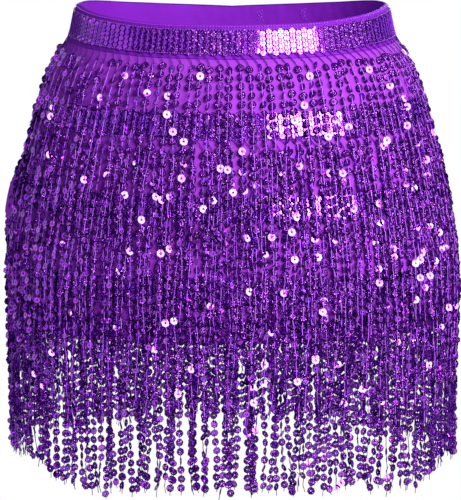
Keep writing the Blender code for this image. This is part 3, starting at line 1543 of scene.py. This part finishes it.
@dataclass(frozen=True)
class Body:
    """The pull-on tube: an elastic waistband over two jersey panels, with its sewing."""

    shop: Workshop
    wall: float = 1.2
    band_wall: float = 2.0
    band_ripple: float = 0.9
    rim_inset: float = 0.9
    seam_gap: float = 0.15
    seam_radius: float = 125.0
    panel_gap: float = 1.2
    panel_inset: float = 0.6
    hip_drop: float = 200.0
    rim_row: tuple[float, float] = (1.2, 0.35)
    tape_upper_row: tuple[float, float] = (0.3, 1.5)
    tape_lower_row: tuple[float, float] = (-0.2, 1.6)
    hem_turn: float = 18.0
    hem_rows_apart: float = 3.0
    hem_out: float = 0.25
    seam_inset: float = 2.0
    seam_out: float = 0.2
    tack_turn: float = 151.0
    tack_apart: float = 36.0
    tack_half: float = 1.9
    tack_drops: tuple[float, float] = (5.0, 13.0)
    tack_lift: float = 0.5
    shaded_overlock_drop: float = 0.5
    shaded_overlock_lift: float = 0.1

    def row_line(self, drop: float, out: float, count: int = 240) -> Line:
        """A closed level line round the tube, for sewing to follow.

        Args:
            drop: how far down.
            out: distance from the tube's own face.
            count: how many steps it has.

        Returns:
            Its points, with the direction out of the cloth at each.
        """
        angles = [math.tau * i / count for i in range(count + 1)]
        tube = self.shop.tube
        return [(tube.point(a, drop, out), tube.outward(a, drop)) for a in angles]

    def make_waistband(self) -> bpy.types.Object:
        """Make the waistband.

        Returns:
            The waistband.
        """
        tube = self.shop.tube
        shell = Shell(
            tube,
            "waistband_cloth",
            first=0.0,
            last=math.tau,
            steps=300,
            drops=spread_drops(self.rim_inset, BAND_DROP, 12),
            near=-self.band_wall,
            far=0.0,
            crease=False,
            ripple=self.band_ripple,
        )
        # The band's cloth is darker than the panels' as painted shade for the band's dim inside
        piece = shell.build(self.shop.band_cloth)
        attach(piece, BODY)
        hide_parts("waistband")
        tube.girth(BAND_DROP / 2) * MM
        return piece

    def make_panel(self, side: Side) -> bpy.types.Object:
        """Make one panel from side seam to side seam.

        Args:
            side: which half of the tube.

        Returns:
            The panel.
        """
        tube = self.shop.tube
        first = math.pi if side is Side.FRONT else 0.0
        gap = self.seam_gap / self.seam_radius
        shell = Shell(
            tube,
            f"{side.value}_cloth",
            first=first + gap,
            last=first + math.pi - gap,
            steps=110,
            drops=spread_drops(BAND_DROP + self.panel_gap, HEM_DROP - self.panel_inset, 66),
            near=-self.wall,
            far=0.0,
        )
        piece = shell.build(self.shop.body_cloth)
        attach(piece, BODY)
        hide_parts(f"body_{side.value}")
        hip = tube.girth(self.hip_drop) / 2 * MM
        waist = tube.girth(BAND_DROP) / 2 * MM
        return piece

    def tack_line(self, side: float) -> Line:
        """Zigzag down the inside of the band's back.

        Args:
            side: how far round from the first tack, in millimetres.

        Returns:
            The tack's points, with the direction into the tube at each.
        """
        tube = self.shop.tube
        tack = math.radians(self.tack_turn - 90.0)
        inside = -self.band_wall - self.tack_lift
        zigzag = []
        for step, drop in enumerate(spread_drops(*self.tack_drops, 7)):
            at = tube.shift(tack, drop, side + (self.tack_half if step % 2 else -self.tack_half))
            zigzag.append((tube.point(at, drop, inside), -tube.outward(at, drop)))
        return zigzag

    def make_sewing(self) -> bpy.types.Object:
        """Sew the rim, both edges of each tape, the hem's two rows, the side seams and the tacks.

        Returns:
            All the stitches as one piece.
        """
        tube = self.shop.tube
        lines = [self.row_line(*self.rim_row)]
        for tier in TIERS:
            for edge, (down, out) in (
                (tier.top, self.tape_upper_row),
                (tier.bottom, self.tape_lower_row),
            ):
                lines.append(self.row_line(edge + down, out))
        hem = HEM_DROP - self.hem_turn
        for drop in (hem, hem + self.hem_rows_apart):
            lines.append(self.row_line(drop, self.hem_out))
        drops = spread_drops(BAND_DROP + self.seam_inset, HEM_DROP - self.seam_inset, 60)
        for angle in (0.0, math.pi):
            lines.append(
                [(tube.point(angle, d, self.seam_out), tube.outward(angle, d)) for d in drops]
            )
        for side in (0.0, self.tack_apart):
            lines.append(self.tack_line(side))
        guide = lines_object("sewing_lines", lines)
        piece = self.shop.stitches.make(
            guide, "sewing", {"Stitch": self.shop.stitch, "Material": self.shop.light_thread}
        )
        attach(piece, BODY)
        return piece

    def make_overlock_painted_shade(self) -> bpy.types.Object:
        """Run a dark overlock row along the inside of the rim: its dark thread is painted shade for the
        rim's shaded top edge.

        Returns:
            The row's stitches as one piece.
        """
        row = self.row_line(self.shaded_overlock_drop, -self.band_wall - self.shaded_overlock_lift)
        line = [(place, -outward) for place, outward in row]
        piece = self.shop.stitches.make(
            lines_object("overlock_line", [line]),
            "rim_overlock",
            {
                "Pitch": 1.5 * MM,
                "Loose": 0.5,
                "Stitch": self.shop.stitch,
                # The dark thread here is painted shade along the rim's top edge
                "Material": self.shop.dark_thread,
            },
        )
        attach(piece, BODY)
        return piece


@dataclass(frozen=True)
class SequinTape:
    """A band of sequins sewn in close columns, each overlapping the one below, on a net base.

    A column is a little over five pitches long, so that six sequins fit. Every second column starts
    lower, so that the rows are staggered.
    """

    shop: Workshop
    tier: Tier
    column_pitch: float = 4.4
    column_play: float = 0.25
    column_starts: tuple[float, float] = (1.5, 3.2)
    row_pitch: float = 2.85
    pitches: float = 5.05
    base_inset: float = 0.25
    base_near: float = 0.3
    base_far: float = 0.8
    sequin_out: float = 1.35
    lean_degrees: float = 5.0
    lean_step: float = 2.7
    thread_out: float = 0.35
    thread_zigzag: float = 0.4
    thread_radius: float = 0.3
    first_seed: int = 11

    def make_base(self) -> bpy.types.Object:
        """Make the net base.

        Returns:
            The base.
        """
        tube, tier = self.shop.tube, self.tier
        shell = Shell(
            tube,
            f"{tier.name}_tape_base",
            first=0.0,
            last=math.tau,
            steps=160,
            drops=spread_drops(tier.top + self.base_inset, tier.bottom - self.base_inset, 5),
            near=self.base_near,
            far=self.base_far,
            crease=False,
        )
        piece = shell.build(self.shop.tape_net)
        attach(piece, BODY)
        girth = tube.girth((tier.top + tier.bottom) / 2)
        return piece

    def make_columns(self) -> list[bpy.types.Object]:
        """Lay the columns of sequins round the tape, with the thread that holds each.

        Returns:
            The sequins and the threads.
        """
        tube, tier = self.shop.tube, self.tier
        count = round(tube.girth(tier.top) / self.column_pitch)
        lean = self.lean_degrees + self.lean_step * max(0, tier.index - 1)
        rng = random.Random(f"{tier.name} tape")
        lines, threads = [], []
        for column, angle in enumerate(tube.even_angles(tier.top, count)):
            nudge = rng.uniform(-self.column_play, self.column_play)
            line, thread = [], []
            start = tier.top + self.column_starts[column % 2]
            end = start + self.pitches * self.row_pitch
            for row, drop in enumerate(spread_drops(start, end, 7)):
                at = tube.shift(angle, drop, nudge)
                line.append((tube.point(at, drop, self.sequin_out), tube.outward(at, drop)))
                aside = tube.shift(at, drop, self.thread_zigzag * (1 if row % 2 else -1))
                over = self.sequin_out + self.thread_out
                thread.append((tube.point(aside, drop, over), tube.outward(at, drop)))
            lines.append(line)
            threads.append(thread)
        guide = lines_object(f"{tier.name}_columns", lines)
        piece = self.shop.sequins.make(
            guide,
            f"{tier.name}_tape_sequins",
            {
                "Spacing": self.row_pitch * MM,
                "Lean": -math.radians(lean),
                "Twist": math.radians(1.0),
                "Loose": math.radians(0.9),
                "Ply": 400.0,
                "Seed": self.first_seed + tier.index,
                "Sequin": self.shop.scale,
                "Material": self.shop.tape_film,
            },
        )
        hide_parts(tier.tape_node)
        holding = self.shop.threads.make(
            lines_object(f"{tier.name}_column_threads", threads),
            f"{tier.name}_tape_threads",
            {"Radius": self.thread_radius * MM, "Material": self.shop.tape_thread},
        )
        for made in (piece, holding):
            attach(made, BODY)
        return [piece, holding]


@dataclass(frozen=True)
class Fringe:
    """The strands of one tier: a looped thread heading, then sequins threaded down to a tail."""

    shop: Workshop
    tier: Tier
    length: float = 139.0
    heading: float = 10.6
    loop_back: float = 6.6
    loop_bend: float = 1.4
    loop_out: float = 1.3
    spacing: float = 6.5
    uneven: float = 0.13
    row_play: float = 0.7
    start_play: float = 1.3
    root_out: float = 1.9
    root_play: float = 0.5
    tier_step: float = 1.15
    climb_start: float = 2.8
    step: float = 4.6
    wander: float = 3.0
    wander_gain: float = 1.8
    wander_onset: float = 1.6
    wander_wave: float = 0.012
    quiver: float = 0.5
    quiver_gain: float = 1.1
    quiver_wave: float = 0.07
    clump: float = 3.7
    clump_width: float = 7.5
    clump_radius: float = 140.0
    clump_level: float = 5.0
    parting_ease: float = 24.0
    parting_give: float = 0.9
    free_run: float = 40.0
    free_play: float = 2.6
    free_sink: float = 1.0
    free_wave: float = 0.01
    kink: float = 0.45
    tail_least: float = 3.0
    tail_most: float = 7.5
    tail_aside: float = 1.6
    thread_radius: float = 0.3
    heading_radius: float = 0.34
    strand_apart: float = 13.7
    tier_apart: float = 101.0
    first_seed: int = 31

    def beneath(self, drop: float) -> float:
        """How many lower tiers the strands lie over, counting part of a climb.

        Args:
            drop: how far down the tube.

        Returns:
            The number of tiers.
        """
        climbed = 0.0
        index = self.tier.index
        for upper, lower in zip(TIERS[index:], TIERS[index + 1 :]):
            start = upper.bottom + self.climb_start
            climbed += min(max((drop - start) / (lower.top - start), 0.0), 1.0)
        return climbed

    def aside(self, turn: float, drop: float) -> float:
        """How far the partings push a strand sideways.

        Args:
            turn: degrees round from the front.
            drop: how far down the tube.

        Returns:
            The distance in millimetres, away from each parting's middle.
        """
        moved = 0.0
        for row in PARTINGS:
            away = (turn - row.turn + 180.0) % 360.0 - 180.0
            share = ease(1.0 - abs(away) / row.reach)
            along = ease((drop - row.top) / self.parting_ease)
            along *= ease((row.bottom - drop) / self.parting_ease)
            moved += math.copysign(row.push * share * along, away)
        return moved

    def sway(self, angle: float, drop: float, share: float, seed: float, give: float) -> float:
        """How far a strand hangs to the side of its root.

        Args:
            angle: where it leaves the tape.
            drop: how far down the tube.
            share: how much of the strand lies above.
            seed: its own place in the noise, far from its neighbours'.
            give: how far it yields to the partings.

        Returns:
            The distance in millimetres. The two lowest tiers share their clumps, and so their gaps.
        """
        wave = noise.noise(Vector((seed, drop * self.wander_wave, 0.0)))
        sway = self.wander * ease(share * self.wander_onset) * wave * self.wander_gain
        wave = noise.noise(Vector((seed, drop * self.quiver_wave, 4.0)))
        sway += (self.quiver + self.quiver_gain * share) * wave
        around = Vector((math.cos(angle), math.sin(angle), 0.0))
        around *= self.clump_radius / self.clump_width
        around.z = self.clump_level * min(self.tier.index, 2)
        sway += self.clump * ease(share * 2.0 - 0.2) * noise.noise(around)
        return sway + give * self.aside(self.shop.tube.turn(angle), drop)

    def hang(self, angle: float, number: int, rng: random.Random) -> Line:
        """Follow one strand from its heading to its last sequin.

        Args:
            angle: where it leaves the tape.
            number: its place in the row, for its own wander.
            rng: the tier's source of unevenness.

        Returns:
            Points every few millimetres, with the direction out of the cloth at each.
        """
        tube, tier = self.shop.tube, self.tier
        length = self.length + rng.uniform(tier.shortest, tier.longest)
        turns = tuple(row.turn for row in STRAND_TRIMS)
        length += curve_through(turns, tuple(row.extra for row in STRAND_TRIMS), tube.turn(angle))
        seed = self.strand_apart * number + self.tier_apart * tier.index
        depth = rng.uniform(-self.root_play, self.root_play)
        give = self.parting_give + self.parting_give * noise.noise(Vector((seed, 0.5, 7.0)))
        play = self.start_play * (1.0 + 0.5 * tier.index)
        drop = tier.bottom + self.heading + play * rng.uniform(-0.9, 1.2)
        walked, line, before = self.heading, [], Vector()
        while True:
            sway = self.sway(angle, drop, walked / length, seed, give)
            at = tube.shift(angle, drop, sway)
            free = ease((drop - HEM_DROP) / self.free_run)
            wave = noise.noise(Vector((seed, drop * self.free_wave, 9.0)))
            out = self.root_out + self.tier_step * self.beneath(drop) + depth
            out += free * (self.free_play * wave - self.free_sink)
            point = tube.point(at, drop, out)
            line.append((point, tube.outward(at, drop)))
            walked += (point - before).length / MM if line[1:] else 0.0
            if walked > length:
                spare = (walked - length) * MM / (point - before).length
                line[-1] = (point.lerp(before, spare), line[-1][1])
                return line
            before = point
            drop += self.step

    def kinked(self, line: Line, rng: random.Random) -> Line:
        """Bend a strand's thread a little to and fro, as thread does between its sequins.

        Args:
            line: the strand.
            rng: the tier's source of unevenness.

        Returns:
            The bent line.
        """
        bent = []
        for place, outward in line:
            sideways = Vector((-outward.y, outward.x, 0.0))
            bent.append((place + sideways * rng.uniform(-self.kink, self.kink) * MM, outward))
        return bent

    def tail(self, line: Line, rng: random.Random) -> tuple[Vector, Vector]:
        """Let the thread's end hang under the last sequin, a little to one side.

        Args:
            line: the strand.
            rng: the tier's source of unevenness.

        Returns:
            The end's point, with the direction out of the cloth there.
        """
        place, outward = line[-1]
        sideways = Vector((-outward.y, outward.x, 0.0))
        sideways = sideways * rng.uniform(-self.tail_aside, self.tail_aside) * MM
        down = Vector((0, 0, rng.uniform(self.tail_least, self.tail_most) * MM))
        return place + sideways - down, outward

    def heading_loop(self, angle: float) -> Line:
        """Slant a strand's heading thread down from the tape towards its first sequin.

        Args:
            angle: where the strand hangs.

        Returns:
            Its points but for the last, with the direction out of the cloth at each.
        """
        tube, tier = self.shop.tube, self.tier
        loop = []
        for share in (0.0, 0.25, 0.5, 0.75):
            back = self.loop_back * (1.0 - share) ** self.loop_bend
            at = tube.shift(angle, tier.bottom, -back)
            drop = tier.bottom - 0.4 + share * (self.heading - 1.0)
            loop.append((tube.point(at, drop, self.loop_out), tube.outward(at, drop)))
        return loop

    def build(self) -> list[bpy.types.Object]:
        """Make the tier's sequins, its threads and the looped heading that they hang from.

        Returns:
            The three pieces.
        """
        tube, tier = self.shop.tube, self.tier
        rng = random.Random(f"{tier.name} fringe")
        beads, threads, headings = [], [], []
        for number, angle in enumerate(tube.even_angles(tier.bottom + self.heading, tier.strands)):
            angle = tube.shift(angle, tier.bottom, rng.uniform(-self.row_play, self.row_play))
            line = self.hang(angle, number, rng)
            beads.append(line)
            headings.append(self.heading_loop(angle) + line[:1])
            tail = self.tail(line, rng)
            threads.append(self.kinked(line, rng) + [tail])
        # The lowest tier's strands take the dark thread, a darker copy of the strand thread, as painted
        # shade for their backlit tails
        thread = self.shop.dark_thread if tier is TIERS[-1] else self.shop.strand_thread
        sequins = self.shop.sequins.make(
            lines_object(f"{tier.name}_bead_lines", beads),
            f"{tier.name}_fringe_sequins",
            {
                "Spacing": self.spacing * MM,
                "Uneven": self.uneven * (tier.index + 0.3) * MM,
                "Lean": -math.radians(6.0),
                "Twist": math.radians(96.0),
                "Loose": math.radians(9.0),
                "Slack": math.radians(6.0),
                "Ply": 55.0,
                "Seed": self.first_seed + tier.index,
                "Sequin": self.shop.round_cup if tier is TIERS[0] else self.shop.cup,
                "Material": self.shop.strand_film,
            },
        )
        cotton = self.shop.threads.make(
            lines_object(f"{tier.name}_thread_lines", threads),
            f"{tier.name}_fringe_threads",
            {"Radius": self.thread_radius * MM, "Material": thread},
        )
        heading = self.shop.threads.make(
            lines_object(f"{tier.name}_heading_lines", headings),
            f"{tier.name}_fringe_heading",
            {"Radius": self.heading_radius * MM, "Material": self.shop.dark_thread},
        )
        for piece in (sequins, cotton, heading):
            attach(piece, BODY)
        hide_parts(tier.fringe_node)
        return [sequins, cotton, heading]


@dataclass(frozen=True)
class Softbox:
    """A soft light that faces the garment: degrees, then metres, then watts.

    The azimuth is counted from the front towards +X and the elevation from level.
    """

    name: str
    azimuth: float
    elevation: float
    distance: float
    width: float
    height: float
    power: float


SOFTBOXES = (
    Softbox("key_softbox", 33.5, 25.0, 1.5, 0.88, 0.52, 46.0),
    Softbox("side_softbox", -94.0, 14.0, 1.5, 1.7, 1.2, 5.0),
    Softbox("back_softbox", 158.0, 30.0, 1.6, 1.2, 0.6, 14.0),
)


@dataclass(frozen=True)
class Studio:
    """Plain pale floor, white surround, soft lights and the camera at the photograph's angle."""

    distance: float = 1.55
    aside: float = -0.0012
    height: float = 0.076
    pitch_degrees: float = 9.31
    focal_pixels: float = 2013.0
    image_height: float = 500.0
    sensor: float = 36.0
    garment_middle: float = -0.12
    surround_tint: str = "#CC7CFF"
    surround_strength: float = 0.33
    floor_height: float = -1.0
    floor_half: float = 1.9
    floor_colour: str = "#F6F5F7"

    def build(self) -> None:
        """Make the camera, the lights, the surround and the floor."""
        self.make_camera()
        self.make_surround()
        for softbox in SOFTBOXES:
            self.make_light(softbox)
        self.make_floor()

    def make_camera(self) -> None:
        """Stand the camera in front, a little above the rim, looking down."""
        camera = bpy.data.cameras.new("camera")
        camera.sensor_width = self.sensor
        camera.lens = self.focal_pixels * self.sensor / self.image_height
        eye = bpy.data.objects.new("camera", camera)
        eye.location = (self.aside, -self.distance, self.height)
        eye.rotation_euler = (math.radians(90.0 - self.pitch_degrees), 0.0, 0.0)
        bpy.context.scene.collection.objects.link(eye)
        bpy.context.scene.camera = eye

    def make_light(self, softbox: Softbox) -> None:
        """Hang one soft light that faces the garment's middle and that the camera doesn't see.

        Args:
            softbox: its place, size and power.
        """
        light = bpy.data.lights.new(softbox.name, "AREA")
        light.shape = "RECTANGLE"
        light.size, light.size_y, light.energy = softbox.width, softbox.height, softbox.power
        box = bpy.data.objects.new(softbox.name, light)
        a, e = math.radians(softbox.azimuth), math.radians(softbox.elevation)
        away = Vector((math.sin(a) * math.cos(e), -math.cos(a) * math.cos(e), math.sin(e)))
        box.location = Vector((0.0, 0.0, self.garment_middle)) + away * softbox.distance
        box.rotation_euler = (-away).to_track_quat("-Z", "Y").to_euler()
        box.visible_camera = False
        bpy.context.scene.collection.objects.link(box)

    def make_surround(self) -> None:
        """Make a surround that is white to the camera, and dim and a little violet to the garment."""
        world = bpy.data.worlds.new("studio")
        world.use_nodes = True
        tree = world.node_tree
        tree.nodes.clear()
        path = add_node(tree, "ShaderNodeLightPath")
        white = add_node(tree, "ShaderNodeBackground", {"Color": (1, 1, 1, 1), "Strength": 1.0})
        dim = add_node(
            tree,
            "ShaderNodeBackground",
            {"Color": srgb(self.surround_tint), "Strength": self.surround_strength},
        )
        mix = add_node(
            tree,
            "ShaderNodeMixShader",
            {0: path.outputs["Is Camera Ray"], 1: dim.outputs[0], 2: white.outputs[0]},
        )
        add_node(tree, "ShaderNodeOutputWorld", {"Surface": mix.outputs[0]})
        bpy.context.scene.world = world
        bpy.context.scene.view_settings.view_transform = "Standard"

    def make_floor(self) -> None:
        """Lay the floor under the hanging garment."""
        data = bmesh.new()
        half = self.floor_half
        corners = ((-half, -half), (half, -half), (half, half), (-half, half))
        data.faces.new([data.verts.new((x, y, self.floor_height)) for x, y in corners])
        mesh = bpy.data.meshes.new("floor")
        data.to_mesh(mesh)
        data.free()
        material, _, shader = start_material("pale_paper")
        fill_inputs(shader, {"Base Color": srgb(self.floor_colour), "Roughness": 0.9})
        mesh.materials.append(material)
        link_object("floor", mesh)


def open_workshop() -> Workshop:
    """Make the trees, the repeated parts and the finishes.

    Returns:
        All of them in one place.
    """
    return Workshop(
        tube=Tube(),
        sequins=SequinRecipe(),
        threads=ThreadRecipe(),
        stitches=StitchRecipe(),
        cup=pressed_sequin("strand_sequin", radius=3.0, hole=0.62, depth=0.03, sides=7),
        round_cup=pressed_sequin(
            "round_strand_sequin", radius=3.0, hole=0.62, depth=0.03, sides=9
        ),
        scale=pressed_sequin("tape_sequin", radius=2.4, hole=0.3, depth=0.03, sides=7),
        stitch=stitch_shape("stitch", length=2.1, width=0.9),
        body_cloth=BODY_JERSEY.material(),
        band_cloth=BAND_JERSEY_PAINTED_SHADE.material(),
        tape_net=TAPE_NET.material(),
        strand_film=STRAND_SEQUIN.material(),
        tape_film=TAPE_SEQUIN.material(),
        light_thread=LIGHT_THREAD.material(),
        strand_thread=STRAND_THREAD.material(),
        tape_thread=TAPE_THREAD.material(),
        dark_thread=DARK_THREAD.material(),
    )


def report(piece: bpy.types.Object) -> None:
    """Log a finished piece's name and number of triangles."""
    piece.data.calc_loop_triangles()
    LOG.info("%s: %d triangles", piece.name, len(piece.data.loop_triangles))


def main() -> None:
    """Build the studio and every piece in order."""
    logging.basicConfig(level=logging.INFO, format="%(message)s")
    Studio().build()
    shop = open_workshop()
    body = Body(shop)
    report(body.make_waistband())
    report(body.make_panel(Side.FRONT))
    report(body.make_panel(Side.BACK))
    report(body.make_sewing())
    report(body.make_overlock_painted_shade())
    for tier in TIERS:
        tape = SequinTape(shop, tier)
        report(tape.make_base())
        for piece in tape.make_columns() + Fringe(shop, tier).build():
            report(piece)
    shop.clear()


if __name__ == "__main__":
    main()
